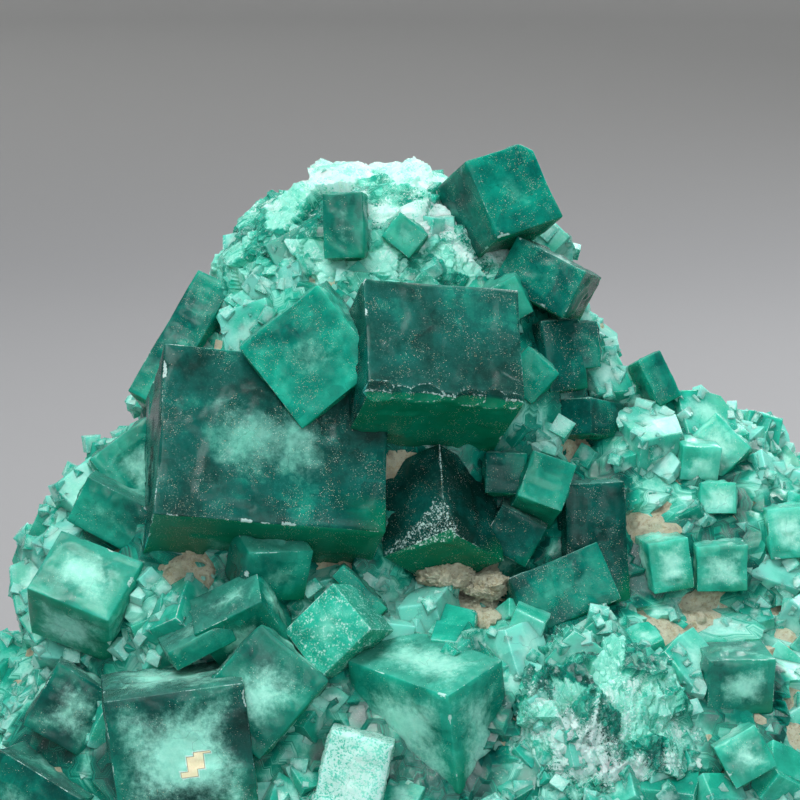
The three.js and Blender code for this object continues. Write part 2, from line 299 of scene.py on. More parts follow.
def crystal_shape(half, step, bevel, wear, seed, flats=(), shells=0, window=None):
    """A worn, slightly stepped cube. Returns local points, outward ways, quads, rim depth and
    frosting, which passes 1 where stone shows through."""
    rng = np.random.default_rng(seed)
    half = np.array(half, float)
    flat_box, quads = cube_shell(half, step, bevel)
    core = np.clip(flat_box, -(half - bevel), half - bevel)
    out = flat_box - core
    out /= np.linalg.norm(out, axis=1, keepdims=True)
    points = core + bevel * out
    depth = np.sort(half - np.abs(flat_box), axis=1)[:, 1]
    rim = depth / half.mean()
    # Growth steps: plates a few millimetres across, whose borders run along the cube's edges.
    size = half.mean()
    warped = flat_box + 0.25 * size * waves(flat_box, 2.2 * size, seed)[:, None]
    plates = (blocks(warped, (0.62 * size, 0.81 * size, 0.55 * size), seed) > 0.62) * 1.0
    plates += (blocks(warped, (0.23 * size, 0.31 * size, 0.2 * size), seed + 5) > 0.7) * 0.5
    plates *= smooth(depth, 0.0, 1.2)
    swell = waves(flat_box, 1.9 * size, seed + 2)
    points += out * (0.2 * plates - 0.2 + 0.018 * size * swell)[:, None]
    points *= 1 - 0.02 * waves(flat_box, 5 * size, seed + 3)[:, None]
    frost = np.full(len(points), max(wear - 1, 0.0))
    for way, keep in flats:
        way = np.array(way) / np.linalg.norm(way)
        beyond = points @ way - keep * (half * np.abs(way)).sum() * 0.86
        cut = beyond > 0
        points[cut] -= beyond[cut, None] * way
        frost[cut] = 0.42
    for index in range(shells + int(22 * wear * size ** 0.7)):
        axis = rng.integers(3)
        centre = half * rng.choice([-1, 1], 3)
        centre[axis] = rng.uniform(-half[axis], half[axis])
        radius = rng.uniform(0.3, 1.0) * (0.55 + 0.08 * size) * rng.choice([0.6, 1.0, 1.5])
        if index < shells:
            axis = 0
            centre = half * (-1 + (2 * index + rng.uniform(0.6, 1.4)) / shells, -1, -1)
            radius = rng.uniform(0.18, 0.36) * size
        away = np.sign(centre) * rng.uniform(0.35, 0.62, 3) * radius * (0.5 if index < shells else 1)
        away[axis] = 0
        offset = points - (centre + away)
        gap = np.linalg.norm(offset, axis=1)
        hit = gap < radius
        points[hit] += offset[hit] / gap[hit, None] * (radius - gap[hit, None])
        if index < shells:
            hit &= gap > 0.86 * radius
        # Chips are frosted pale, which also stands in for painted highlights on the broken edges.
        if index < shells or rng.random() < 0.6:
            frost[hit] = np.maximum(frost[hit], 0.5 if index < shells else 0.75)
    # Worn edges, frosted pale; the pale lines along the edges also serve as painted highlights.
    edge = 1 - smooth(depth, 0.05, 0.2 + 0.3 * wear)
    worn = smooth(waves(flat_box, 3.0, seed + 4) + 0.9 * wear, 0.2, 1.3)
    frost = np.maximum(frost, edge * worn * 0.6)
    if window:
        x, z, wide, tall = window
        across, along = (flat_box[:, 0] - x) / wide, (flat_box[:, 2] - z) / tall
        shown = np.abs(across - 0.5 * np.round(along)) < 0.6
        frost[shown & (np.abs(along) < 1) & (flat_box[:, 1] < 1e-6 - half[1])] = 1.6
    return points, out, quads, rim, frost


# ---------------------------------------------------------------- Blender objects


def make_object(name, points, faces, vectors=(), flat=False):
    """Object whose points are millimetres in the rock's frame, with named vector attributes."""
    mesh = bpy.data.meshes.new(name)
    mesh.from_pydata(((np.asarray(points) + CENTRED) * MM).tolist(), [], np.asarray(faces).tolist())
    for key, values in vectors:
        layer = mesh.attributes.new(key, "FLOAT_VECTOR", "POINT")
        layer.data.foreach_set("vector", np.ascontiguousarray(values, np.float32).ravel())
    mesh.polygons.foreach_set("use_smooth", [not flat] * len(mesh.polygons))
    obj = bpy.data.objects.new(name, mesh)
    bpy.context.scene.collection.objects.link(obj)
    return obj


def finish_piece(obj, node):
    """Saws the piece off flat at the base, hangs it under the root body and hides the CAD part it stands
    for.
    """
    flat = np.empty(3 * len(obj.data.vertices), np.float32)
    obj.data.vertices.foreach_get("co", flat)
    flat[2::3] = np.maximum(flat[2::3], 0)
    obj.data.vertices.foreach_set("co", flat)
    obj.data.update()
    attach(obj, "root")
    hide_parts(node)


def columns(count, *values):
    return np.stack([np.broadcast_to(np.asarray(v, float), (count,)) for v in values], 1)


def node(tree, kind, inputs=None, **settings):
    made = tree.nodes.new(kind)
    for key, value in settings.items():
        setattr(made, key, value)
    for key, value in (inputs or {}).items():
        if isinstance(value, bpy.types.NodeSocket):
            tree.links.new(value, made.inputs[key])
        else:
            made.inputs[key].default_value = value
    return made


def calc(tree, operation, *values, clamp=False):
    made = node(tree, "ShaderNodeMath", dict(enumerate(values)), operation=operation)
    made.use_clamp = clamp
    return made.outputs[0]


def ramp(tree, value, low, high, to_low=0.0, to_high=1.0):
    return node(tree, "ShaderNodeMapRange", {
        "Value": value, "From Min": low, "From Max": high, "To Min": to_low, "To Max": to_high,
    }, interpolation_type="SMOOTHSTEP").outputs[0]


def blend(tree, factor, first, second):
    return node(tree, "ShaderNodeMix", {0: factor, 6: first, 7: second},
                data_type="RGBA").outputs[2]


def noise(tree, vector, scale, detail=4.0, roughness=0.55, distortion=0.0):
    return node(tree, "ShaderNodeTexNoise", {
        "Vector": vector, "Scale": scale, "Detail": detail, "Roughness": roughness,
        "Distortion": distortion,
    }).outputs["Fac"]


def cells(tree, vector, scale, feature="F1", distance="EUCLIDEAN"):
    return node(tree, "ShaderNodeTexVoronoi", {"Vector": vector, "Scale": scale}, feature=feature,
                distance=distance)


def rgba(colour):
    return (*colour, 1.0)


def attribute(tree, name):
    return node(tree, "ShaderNodeAttribute", attribute_name=name).outputs["Vector"]


def split(tree, vector):
    return node(tree, "ShaderNodeSeparateXYZ", {0: vector}).outputs


def new_material(name):
    material = bpy.data.materials.new(name)
    material.use_nodes = True
    tree = material.node_tree
    tree.nodes.clear()
    surface = node(tree, "ShaderNodeBsdfPrincipled")
    output = node(tree, "ShaderNodeOutputMaterial")
    tree.links.new(surface.outputs[0], output.inputs[0])
    return material, tree, surface


def fluorite_material(name, look, dusty, clear, frosty, gleam):
    """Green fluorite. Points carry local (mm), grain (rim, frost, painted_light) and kind (shade, cloud,
    shift): rim is 0 at an edge and 1 in a face's middle, painted_light is painted glow above 0 and
    painted sheen below 0, and shift moves the texture."""
    material, tree, surface = new_material(name)
    rim, frost, painted_light = split(tree, attribute(tree, "grain"))[:3]
    shade, cloud, shift = split(tree, attribute(tree, "kind"))[:3]
    moved = node(tree, "ShaderNodeVectorMath", {0: (7.3, 3.1, 5.7), 3: shift},
                 operation="SCALE").outputs[0]
    here = node(tree, "ShaderNodeVectorMath", {0: attribute(tree, "local"), 1: moved},
                operation="ADD").outputs[0]
    broad = noise(tree, here, 0.17, 3.0, 0.5, 0.4)
    grainy = noise(tree, here, 1.5, 6.0, 0.75)
    fine = noise(tree, here, 5.0, 3.0, 0.75)
    growth = split(tree, cells(tree, here, 0.4, distance="CHEBYCHEV").outputs["Color"])[0]

    # Body colour runs through the greens by shade, uneven inside the crystal.
    tone = calc(tree, "MULTIPLY_ADD", calc(tree, "SUBTRACT", broad, 0.5), 1.0, shade)
    tone = calc(tree, "MULTIPLY_ADD", calc(tree, "SUBTRACT", grainy, 0.5), 0.3, tone)
    tone = calc(tree, "MULTIPLY_ADD", calc(tree, "SUBTRACT", growth, 0.5), 0.1, tone)
    greens = node(tree, "ShaderNodeValToRGB", {0: tone})
    stops = greens.color_ramp.elements
    stops[0].position, stops[0].color = 0.0, rgba(look.darkest)
    stops[1].position, stops[1].color = 1.0, rgba(look.mint)
    for place, colour in ((0.26, look.dark), (0.5, look.green), (0.74, look.bright)):
        stops.new(place).color = rgba(colour)
    body = greens.outputs[0]
    # Painted light: a brighter green where lamp light would leave the crystal, towards its lower far side
    # and on faces that point down.
    body = blend(tree, calc(tree, "MULTIPLY", painted_light, 0.7, clamp=True), body, rgba(look.lit))

    # Milky heart, square like the crystal, with a granular border.
    inward = calc(tree, "MULTIPLY_ADD", calc(tree, "SUBTRACT", broad, 0.5), 1.2, rim)
    inward = calc(tree, "MULTIPLY_ADD", calc(tree, "SUBTRACT", grainy, 0.5), 0.7, inward)
    inward = calc(tree, "MULTIPLY_ADD", calc(tree, "SUBTRACT", cloud, 1.0), 0.6, inward)
    heart = calc(tree, "MULTIPLY", ramp(tree, inward, 0.16, 0.8),
                 calc(tree, "MULTIPLY", cloud, 1.5, clamp=True), clamp=True)
    milk = blend(tree, grainy, rgba(look.cloud), rgba(look.cloud_pale))
    body = blend(tree, heart, body, milk)

    # Painted sheen: a pale grey-green haze on the sides that face up, standing in for the reflection of
    # the lamp above.
    up_sheen = calc(tree, "MULTIPLY", calc(tree, "MULTIPLY", painted_light, -0.4), grainy, clamp=True)
    body = blend(tree, up_sheen, body, rgba(look.up_sheen))

    # Frosted and worn places, broken into grains. On edges and chips the frost also serves as painted
    # highlights.
    grains = split(tree, cells(tree, here, 6.0).outputs["Color"])[0]
    worn = calc(tree, "MULTIPLY_ADD", calc(tree, "SUBTRACT", grains, 0.5), 0.35, frost)
    worn = calc(tree, "MULTIPLY_ADD", calc(tree, "SUBTRACT", fine, 0.5), 0.8, worn)
    worn = calc(tree, "MULTIPLY_ADD", calc(tree, "SUBTRACT", grainy, 0.5), 0.9, worn)
    worn = calc(tree, "MULTIPLY", ramp(tree, worn, 0.42, 0.68), frosty)
    body = blend(tree, calc(tree, "MULTIPLY", worn, 0.8), body, rgba(look.frost))

    # Dust: fine pale and golden specks, thicker in some places than in others. The pale specks are near
    # white, so they also serve as painted glints.
    specks = cells(tree, here, 7.5)
    pick = split(tree, specks.outputs["Color"])
    speck = calc(tree, "LESS_THAN", specks.outputs["Distance"],
                 calc(tree, "MULTIPLY", pick[0], 0.28))
    patchy = ramp(tree, noise(tree, here, 0.45, 4.0), 0.4, 0.64, 0.1, 1.0)
    kept = calc(tree, "GREATER_THAN", calc(tree, "MULTIPLY", patchy, pick[1]), 1 - dusty)
    dust = calc(tree, "MULTIPLY", speck, kept)
    dust_colour = blend(tree, pick[2], rgba(look.dust_gold), rgba(look.dust_and_glint))
    body = blend(tree, calc(tree, "MULTIPLY", dust, 0.55), body, dust_colour)

    grit = ramp(tree, noise(tree, here, 6.0, 2.0, 0.8), 0.58, 0.68)
    grit = calc(tree, "MULTIPLY", calc(tree, "MULTIPLY", grit, patchy), dusty * 0.14)
    body = blend(tree, grit, body, rgba(look.dust_and_glint))

    # Hairline cracks in a few places.
    lines = cells(tree, node(tree, "ShaderNodeVectorMath", {
        0: here, 1: node(tree, "ShaderNodeTexNoise", {
            "Vector": here, "Scale": 0.9, "Detail": 3.0}).outputs["Color"]},
        operation="ADD").outputs[0], 0.24, "DISTANCE_TO_EDGE")
    crack = calc(tree, "MULTIPLY", calc(tree, "LESS_THAN", lines.outputs["Distance"], 0.005),
                 ramp(tree, broad, 0.5, 0.6))
    body = blend(tree, calc(tree, "MULTIPLY", crack, 0.3), body, rgba(look.darkest))
    body = blend(tree, ramp(tree, frost, 1.02, 1.12), body, rgba(look.rust_and_shade))
    stony = blend(tree, fine, rgba(look.tan), rgba(look.cream))
    body = blend(tree, ramp(tree, frost, 1.15, 1.4), body, stony)

    tree.links.new(body, surface.inputs["Base Color"])
    rough = calc(tree, "MULTIPLY_ADD", grainy, 0.2, 0.08)
    rough = calc(tree, "MULTIPLY_ADD", worn, 0.35, rough)
    rough = calc(tree, "MULTIPLY_ADD", dust, 0.3, rough, clamp=True)
    tree.links.new(rough, surface.inputs["Roughness"])
    see = calc(tree, "MULTIPLY", calc(tree, "SUBTRACT", 1.0, heart), clear)
    see = calc(tree, "MULTIPLY", see, calc(tree, "SUBTRACT", 1.0, worn), clamp=True)
    tree.links.new(see, surface.inputs["Transmission Weight"])
    height = calc(tree, "MULTIPLY_ADD", fine, 0.35, grainy)
    height = calc(tree, "MULTIPLY_ADD", worn, 0.5, height)
    bump = node(tree, "ShaderNodeBump", {
        "Strength": 0.35, "Distance": 0.00012, "Height": height})
    tree.links.new(bump.outputs[0], surface.inputs["Normal"])
    surface.inputs["IOR"].default_value = 1.434
    surface.inputs["Subsurface Weight"].default_value = look.subsurface
    surface.inputs["Subsurface Radius"].default_value = (0.35, 1.0, 0.8)
    surface.inputs["Subsurface Scale"].default_value = look.depth
    surface.inputs["Specular IOR Level"].default_value = gleam
    return material


def rock_material(name, look):
    """Cream and tan rock, rusty in the hollows and rust-brown next to the crystals, which is partly
    painted shade. Points carry local (mm) and grain (stain_and_shade, -, -).
    """
    material, tree, surface = new_material(name)
    here = attribute(tree, "local")
    stain_and_shade = split(tree, attribute(tree, "grain"))[0]
    broad = noise(tree, here, 0.16, 5.0, 0.6)
    grains = noise(tree, here, 1.3, 8.0, 0.72)
    fine = noise(tree, here, 7.0, 4.0, 0.7)
    body = blend(tree, ramp(tree, grains, 0.36, 0.55), rgba(look.tan), rgba(look.cream))
    body = blend(tree, calc(tree, "MULTIPLY", ramp(tree, fine, 0.48, 0.62), 0.7), body,
                 rgba(look.chalk))
    pits = ramp(tree, noise(tree, here, 3.2, 5.0, 0.7), 0.36, 0.44, 0.4, 0.0)
    body = blend(tree, pits, body, rgba(look.rust_and_shade))
    # Rust and painted shade: rust-brown where stain_and_shade is high, most of all next to the crystals.
    rust_and_shade = calc(tree, "MULTIPLY_ADD", calc(tree, "SUBTRACT", broad, 0.5), 1.2, stain_and_shade)
    rust_and_shade = calc(tree, "MULTIPLY_ADD", calc(tree, "SUBTRACT", grains, 0.5), 0.9, rust_and_shade)
    body = blend(tree, calc(tree, "MULTIPLY", ramp(tree, rust_and_shade, 0.62, 1.15), 0.85), body,
                 rgba(look.rust_and_shade))
    tree.links.new(body, surface.inputs["Base Color"])
    surface.inputs["Roughness"].default_value = 0.88
    height = calc(tree, "MULTIPLY_ADD", fine, 0.6, grains)
    bump = node(tree, "ShaderNodeBump", {
        "Strength": 1.0, "Distance": 0.0009, "Height": height})
    tree.links.new(bump.outputs[0], surface.inputs["Normal"])
    return material


def stage_material(look):
    """Plain paper, paler far from the lamps. v runs out along the floor and up the wall, in metres."""
    material, tree, surface = new_material("backdrop_paper")
    along = split(tree, node(tree, "ShaderNodeUVMap", uv_map="sweep").outputs[0])[1]
    part = ramp(tree, along, look.sweep_near, look.sweep_far)
    body = blend(tree, part, rgba(look.floor_near), rgba(look.floor_far))
    tree.links.new(body, surface.inputs["Base Color"])
    surface.inputs["Roughness"].default_value = 0.9
    surface.inputs["Specular IOR Level"].default_value = 0.1
    return material


# How dusty, how see-through, how readily frosted and how shiny each kind of fluorite is.
FLUORITES = {
    "fluorite_deep": (0.75, 0.0, 0.9, 0.14), "fluorite_zoned": (0.45, 0.25, 0.9, 0.2),
    "fluorite_pale": (0.45, 0.12, 0.9, 0.5), "fluorite_cleaved": (0.3, 0.12, 1.0, 0.4),
}
SLOTS = (*FLUORITES, "matrix_rock")


def materials(look):
    """The five materials, made once."""
    made = {name: bpy.data.materials.get(name + "_look") for name in SLOTS}
    if made["matrix_rock"] is None:
        for name, values in FLUORITES.items():
            made[name] = fluorite_material(name + "_look", look, *values)
        made["matrix_rock"] = rock_material("matrix_rock_look", look)
    return made


# ---------------------------------------------------------------- scattering


def scatter_tree(name):
    """Geometry Nodes: seats copies of a collection's pieces over a surface, then makes them real."""
    tree = bpy.data.node_groups.new(name, "GeometryNodeTree")
    face = tree.interface
    face.new_socket("Bed", in_out="INPUT", socket_type="NodeSocketGeometry")
    for label, kind, value in (
        ("Pieces", "NodeSocketCollection", None), ("Spacing", "NodeSocketFloat", 0.001),
        ("Density", "NodeSocketFloat", 1e5), ("Smallest", "NodeSocketFloat", 0.001),
        ("Largest", "NodeSocketFloat", 0.002), ("Seed", "NodeSocketInt", 1),
        ("Upright", "NodeSocketFloat", 0.3), ("Lift", "NodeSocketFloat", 0.0),
        ("Kind low", "NodeSocketVector", (0, 0, 0)),
        ("Kind high", "NodeSocketVector", (1, 1, 9)), ("Material", "NodeSocketMaterial", None),
    ):
        socket = face.new_socket(label, in_out="INPUT", socket_type=kind)
        if value is not None:
            socket.default_value = value
    face.new_socket("Geometry", in_out="OUTPUT", socket_type="NodeSocketGeometry")
    given = node(tree, "NodeGroupInput").outputs
    cover = node(tree, "GeometryNodeInputNamedAttribute", {"Name": "cover"}, data_type="FLOAT")
    seats = node(tree, "GeometryNodeDistributePointsOnFaces", {
        "Mesh": given["Bed"], "Distance Min": given["Spacing"], "Density Max": given["Density"],
        "Density Factor": cover.outputs[0], "Seed": given["Seed"],
    }, distribute_method="POISSON")
    shapes = node(tree, "GeometryNodeCollectionInfo", {
        "Collection": given["Pieces"], "Separate Children": True, "Reset Children": True})
    spin = node(tree, "FunctionNodeRandomValue", {
        "Min": (-3.14, -3.14, -3.14), "Max": (3.14, 3.14, 3.14), "Seed": given["Seed"],
    }, data_type="FLOAT_VECTOR")
    free = node(tree, "FunctionNodeEulerToRotation", {0: spin.outputs[0]})
    turned = node(tree, "ShaderNodeMix", {
        0: given["Upright"]}, data_type="ROTATION")
    rotations = [s for s in turned.inputs if s.type == "ROTATION"]
    tree.links.new(free.outputs[0], rotations[0])
    tree.links.new(seats.outputs["Rotation"], rotations[1])
    chance = node(tree, "FunctionNodeRandomValue", {
        2: 0.0, 3: 1.0, "Seed": given["Seed"]}, data_type="FLOAT")
    size = node(tree, "ShaderNodeMapRange", {
        "Value": calc(tree, "POWER", chance.outputs[1], 1.8), "To Min": given["Smallest"],
        "To Max": given["Largest"]})
    copies = node(tree, "GeometryNodeInstanceOnPoints", {
        "Points": seats.outputs["Points"], "Instance": shapes.outputs[0], "Pick Instance": True,
        "Rotation": [s for s in turned.outputs if s.type == "ROTATION"][0],
        "Scale": size.outputs[0],
    })
    sunk = node(tree, "GeometryNodeTranslateInstances", {
        "Instances": copies.outputs[0], "Local Space": False,
        "Translation": node(tree, "ShaderNodeVectorMath", {
            0: seats.outputs["Normal"], 3: node(tree, "ShaderNodeMath", {
                0: given["Lift"], 1: given["Largest"]}, operation="MULTIPLY").outputs[0],
        }, operation="SCALE").outputs[0]})
    kinds = node(tree, "FunctionNodeRandomValue", {
        "Min": given["Kind low"], "Max": given["Kind high"], "Seed": given["Seed"],
    }, data_type="FLOAT_VECTOR")
    marked = node(tree, "GeometryNodeStoreNamedAttribute", {
        "Geometry": sunk.outputs[0], "Name": "kind", "Value": kinds.outputs[0],
    }, data_type="FLOAT_VECTOR", domain="INSTANCE")
    real = node(tree, "GeometryNodeRealizeInstances", {0: marked.outputs[0]})
    dressed = node(tree, "GeometryNodeSetMaterial", {
        "Geometry": real.outputs[0], "Material": given["Material"]})
    joined = node(tree, "GeometryNodeJoinGeometry")
    tree.links.new(given["Bed"], joined.inputs[0])
    tree.links.new(dressed.outputs[0], joined.inputs[0])
    node(tree, "NodeGroupOutput", {0: joined.outputs[0]})
    return tree


def scatter(obj, pieces, values):
    """Runs the scatter on an object and keeps the result as its plain mesh."""
    tree = bpy.data.node_groups.get("seat_pieces") or scatter_tree("seat_pieces")
    collection = bpy.data.collections.new("seats")
    for piece in pieces:
        bpy.context.scene.collection.objects.unlink(piece)
        collection.objects.link(piece)
    modifier = obj.modifiers.new("seat_pieces", "NODES")
    modifier.node_group = tree
    sockets = {s.name: s.identifier for s in tree.interface.items_tree if s.in_out == "INPUT"}
    for label, value in {**values, "Pieces": collection}.items():
        modifier[sockets[label]] = value
    bpy.context.view_layer.update()
    graph = bpy.context.evaluated_depsgraph_get()
    mesh = bpy.data.meshes.new_from_object(
        obj.evaluated_get(graph), preserve_all_data_layers=True, depsgraph=graph)
    obj.modifiers.clear()
    old = obj.data
    obj.data = mesh
    bpy.data.meshes.remove(old)
    mesh.name = obj.name
    for piece in pieces:
        bpy.data.objects.remove(piece)
    bpy.data.collections.remove(collection)


def small_cubes(seed):
    """Five worn cubes about 2 units across, to be seated and scaled."""
    made = []
    shapes = ((1, 1, 1), (1, 0.82, 1), (1, 1, 0.7), (0.8, 1, 1.15), (1.1, 0.6, 0.9))
    for index, half in enumerate(shapes):
        points, quads = cube_shell(np.array(half, float), 0.9, 0.07)
        core = np.clip(points, -(np.array(half) - 0.07), np.array(half) - 0.07)
        out = points - core
        out /= np.linalg.norm(out, axis=1, keepdims=True)
        depth = np.sort(np.array(half) - np.abs(points), axis=1)[:, 1]
        shaped = core + 0.07 * out + 0.03 * waves(points, 3.0, seed + index)[:, None] * out
        away = np.array([(1, -1, 1), (-1, 1, 1), (1, 1, -1)][index % 3]) / math.sqrt(3)
        beyond = shaped @ away - 1.35
        shaped[beyond > 0] -= beyond[beyond > 0, None] * away
        # The third grain value is a little painted light: a faint painted glow.
        grain = columns(len(points), depth, (depth < 0.01) * 0.55 + (beyond > 0) * 0.3, 0.1)
        obj = make_object(f"seat_{index}", shaped / MM - CENTRED, quads, (
            ("local", points * 2.4), ("grain", grain)), flat=True)
        made.append(obj)
    return made


def grains(seed):
    """Five plain cubes about 2 units across, each face peaked a little at its middle."""
    made = []
    rng = np.random.default_rng(seed)
    corners = np.array([(x, y, z) for x in (-1, 1) for y in (-1, 1) for z in (-1, 1)], float)
    for index in range(5):
        points, faces = list(corners), []
        for axis in range(3):
            for side in (-1, 1):
                ring = [k for k in range(8) if corners[k, axis] == side]
                ring = [ring[0], ring[1], ring[3], ring[2]]
                middle = np.zeros(3)
                middle[axis] = side * rng.uniform(0.98, 1.06)
                points.append(middle)
                for k in range(4):
                    face = [ring[k], ring[(k + 1) % 4], len(points) - 1]
                    a, b, c = (points[p] for p in face)
                    if np.cross(b - a, c - a)[axis] * side < 0:
                        face.reverse()
                    faces.append(face)
        points = np.array(points) * rng.uniform(0.7, 1.1, 3)
        points += 0.05 * rng.normal(size=points.shape)
        rim = 0.35 + 0.65 * (np.arange(14) > 7)
        made.append(make_object(f"seat_{index}", points / MM - CENTRED, faces, (
            ("local", points * 1.5), ("grain", columns(14, rim, 0.5 - 0.35 * rim, 0))), flat=True))
    return made


def splinters(seed, long):
    """Four cleavage splinters: flat wedges about 2 units long."""
    made = []
    rng = np.random.default_rng(seed)
    for index in range(4):
        half = np.array([0.45, 0.22 + 0.2 * rng.random(), long])
        points, quads = cube_shell(half, 0.5, 0.05)
        taper = 1 - 0.75 * smooth(points[:, 2], -0.2 * long, long)
        shaped = points * np.stack([taper, 0.6 + 0.4 * taper, np.ones(len(points))], 1)
        shaped[:, 0] += 0.22 * shaped[:, 2] * rng.uniform(-1, 1)
        shaped += 0.05 * rng.normal(size=shaped.shape)
        depth = np.sort(half - np.abs(points), axis=1)[:, 1]
        # The third grain value is a little painted light: a faint painted glow.
        grain = columns(len(points), depth, 0.25 + 0.5 * (depth < 0.01), 0.2)
        made.append(make_object(f"seat_{index}", shaped / MM - CENTRED, quads, (
            ("local", points * 1.4), ("grain", grain)), flat=True))
    return made


def crumbs(seed):
    """Three angular crumbs of rock about 2 units across."""
    made = []
    for index in range(3):
        ways, faces = sphere(2)
        height, _ = facets(ways, 14, 0.5, 0.14, seed + index)
        shaped = ways * (1 + height)[:, None] * (1, 0.8, 0.7)
        made.append(make_object(f"seat_{index}", shaped / MM - CENTRED, faces, (
            ("local", shaped * 1.1), ("grain", columns(len(ways), 0.3, 0, 0)),
        ), flat=True))
    return made


# ---------------------------------------------------------------- settings and operators


def length(name, description, default):
    return bpy.props.FloatProperty(name=name, description=description, default=default,
                                   unit="LENGTH", precision=5)


def colour(name, description, default):
    return bpy.props.FloatVectorProperty(name=name, description=description, default=default,
                                         subtype="COLOR", size=3, min=0, max=1)


class FluoriteSettings(bpy.types.PropertyGroup):
    grid: length("Face grid", "Distance between points on a large crystal's faces", 0.00036)
    bevel: length("Edge rounding", "Rounding of a large crystal's edges", 0.00028)
    bed: length("Druse bed", "Thickness of the fine crust under the small cubes", 0.0014)
    cube_small: length("Smallest cube", "Half the size of the smallest druse cube", 0.00035)
    cube_middle: length("Middling cube", "Half the size of a middling druse cube", 0.001)
    cube_large: length("Largest cube", "Half the size of the largest druse cube", 0.003)
    depth: length("Light depth", "How far light spreads inside the crystals", 0.0025)
    sweep_near: length("Near floor ends", "Distance from the specimen where the floor pales", 0.42)
    sweep_far: length("Far floor begins", "Distance from the specimen where it is palest", 0.98)
    subsurface: bpy.props.FloatProperty(name="Scattering", default=0.45, min=0, max=1,
                                        description="Share of light scattered inside the crystals")
    darkest: colour("Darkest green", "Deepest body colour", (0.001, 0.025, 0.02))
    dark: colour("Dark teal", "Body colour of the deep cubes", (0.001, 0.085, 0.07))
    green: colour("Green", "Middle body colour", (0.003, 0.24, 0.17))
    bright: colour("Bright green", "Body colour of the lighter cubes", (0.02, 0.45, 0.32))
    mint: colour("Mint", "Palest body colour", (0.2, 0.74, 0.6))
    lit: colour("Lit green", "Where light leaves a crystal", (0.001, 0.2, 0.09))
    # Painted sheen: colour of the haze on the sides that face up, in place of the overhead lamp's
    # reflection.
    up_sheen: colour("Bloom", "Fine dust on the sides that face up", (0.22, 0.52, 0.45))
    cloud: colour("Cloud", "Milky heart", (0.12, 0.52, 0.4))
    cloud_pale: colour("Pale cloud", "Palest part of the milky heart", (0.42, 0.82, 0.7))
    # Frost colour, which on edges and chips also serves as painted highlights.
    frost: colour("Frost", "Frosted and worn places", (0.56, 0.74, 0.71))
    dust_gold: colour("Golden dust", "Golden specks", (0.62, 0.5, 0.22))
    # Near-white colour of the pale dust specks, which also serve as painted glints.
    dust_and_glint: colour("Pale dust", "Pale specks", (0.85, 0.9, 0.85))
    cream: colour("Cream rock", "Main colour of the rock", (0.86, 0.86, 0.64))
    tan: colour("Tan rock", "Darker grains of the rock", (0.66, 0.58, 0.34))
    chalk: colour("Chalk", "Palest grains of the rock", (0.9, 0.92, 0.78))
    # Rust colour, used for rust and also for painted shade where the rock meets the crystals.
    rust_and_shade: colour("Rust", "Stained hollows", (0.2, 0.12, 0.04))
    floor_near: colour("Near floor", "Floor round the specimen", (0.28, 0.283, 0.292))
    floor_far: colour("Far floor", "Far floor and wall, paler to make up for dimmer light",
                      (0.64, 0.64, 0.635))


class BuildRock(bpy.types.Operator):
    """Make the rock, its crumbs and the two pebbles"""

    bl_idname = "fluorite.rock"
    bl_label = "Rock and pebbles"

    def execute(self, context):
        look = context.scene.fluorite
        ways, faces = sphere(7)
        skin = HEART + ways * reach(ways)[:, None]
        coarse, _ = facets(skin, 1800, 0.28, 0.35, 3)
        fine, _ = facets(skin, 9000, 0.25, 0.12, 4)
        far = reach(ways) + coarse + fine + 0.35 * waves(skin, 7, 5) - 0.2
        down = ways[:, 2] < -1e-6
        floor = np.full(len(ways), np.inf)
        floor[down] = HEART[2] / -ways[down, 2]
        points = HEART + ways * np.minimum(far, floor)[:, None]
        points[far >= floor, 2] = 0
        # stain_and_shade: rust stain away from the bare spots, and rust-brown painted shade next to the
        # crystals.
        stain_and_shade = np.maximum(1 - clear_of_crystals(points, 1.5), 0.9 - bare_spots(points))
        stain_and_shade = 0.8 * stain_and_shade + 0.15 * waves(points, 4, 7)
        obj = make_object("rock_matrix", points, faces, (
            ("local", points), ("grain", columns(len(points), stain_and_shade, 0, 0))))
        layer = obj.data.attributes.new("cover", "FLOAT", "POINT")
        layer.data.foreach_set("value", (points[:, 2] > 1.5) * 1.0)
        obj.data.set_sharp_from_angle(angle=math.radians(28))
        obj.data.materials.append(materials(look)["matrix_rock"])
        scatter(obj, crumbs(40), {
            "Spacing": 0.0011, "Density": 6e4, "Smallest": 0.0002, "Largest": 0.0008, "Seed": 5,
            "Material": materials(look)["matrix_rock"], "Upright": 0.2})
        finish_piece(obj, "rock")
        for name, centre, half, seed in PEBBLES:
            ways, faces = sphere(6)
            height, _ = facets(ways, 90, 0.3, 0.07, seed)
            small, _ = facets(ways, 1500, 0.6, 0.05, seed + 3)
            far = 1.02 + height + small + 0.12 * waves(ways, 1.6, seed)
            points = np.array(centre) + ways * far[:, None] * half
            pebble = make_object(name + "_stone", points, faces, (
                ("local", points), ("grain", columns(len(points), 0.15, 0, 0))))
            pebble.data.materials.append(materials(look)["matrix_rock"])
            finish_piece(pebble, name)
        return {"FINISHED"}


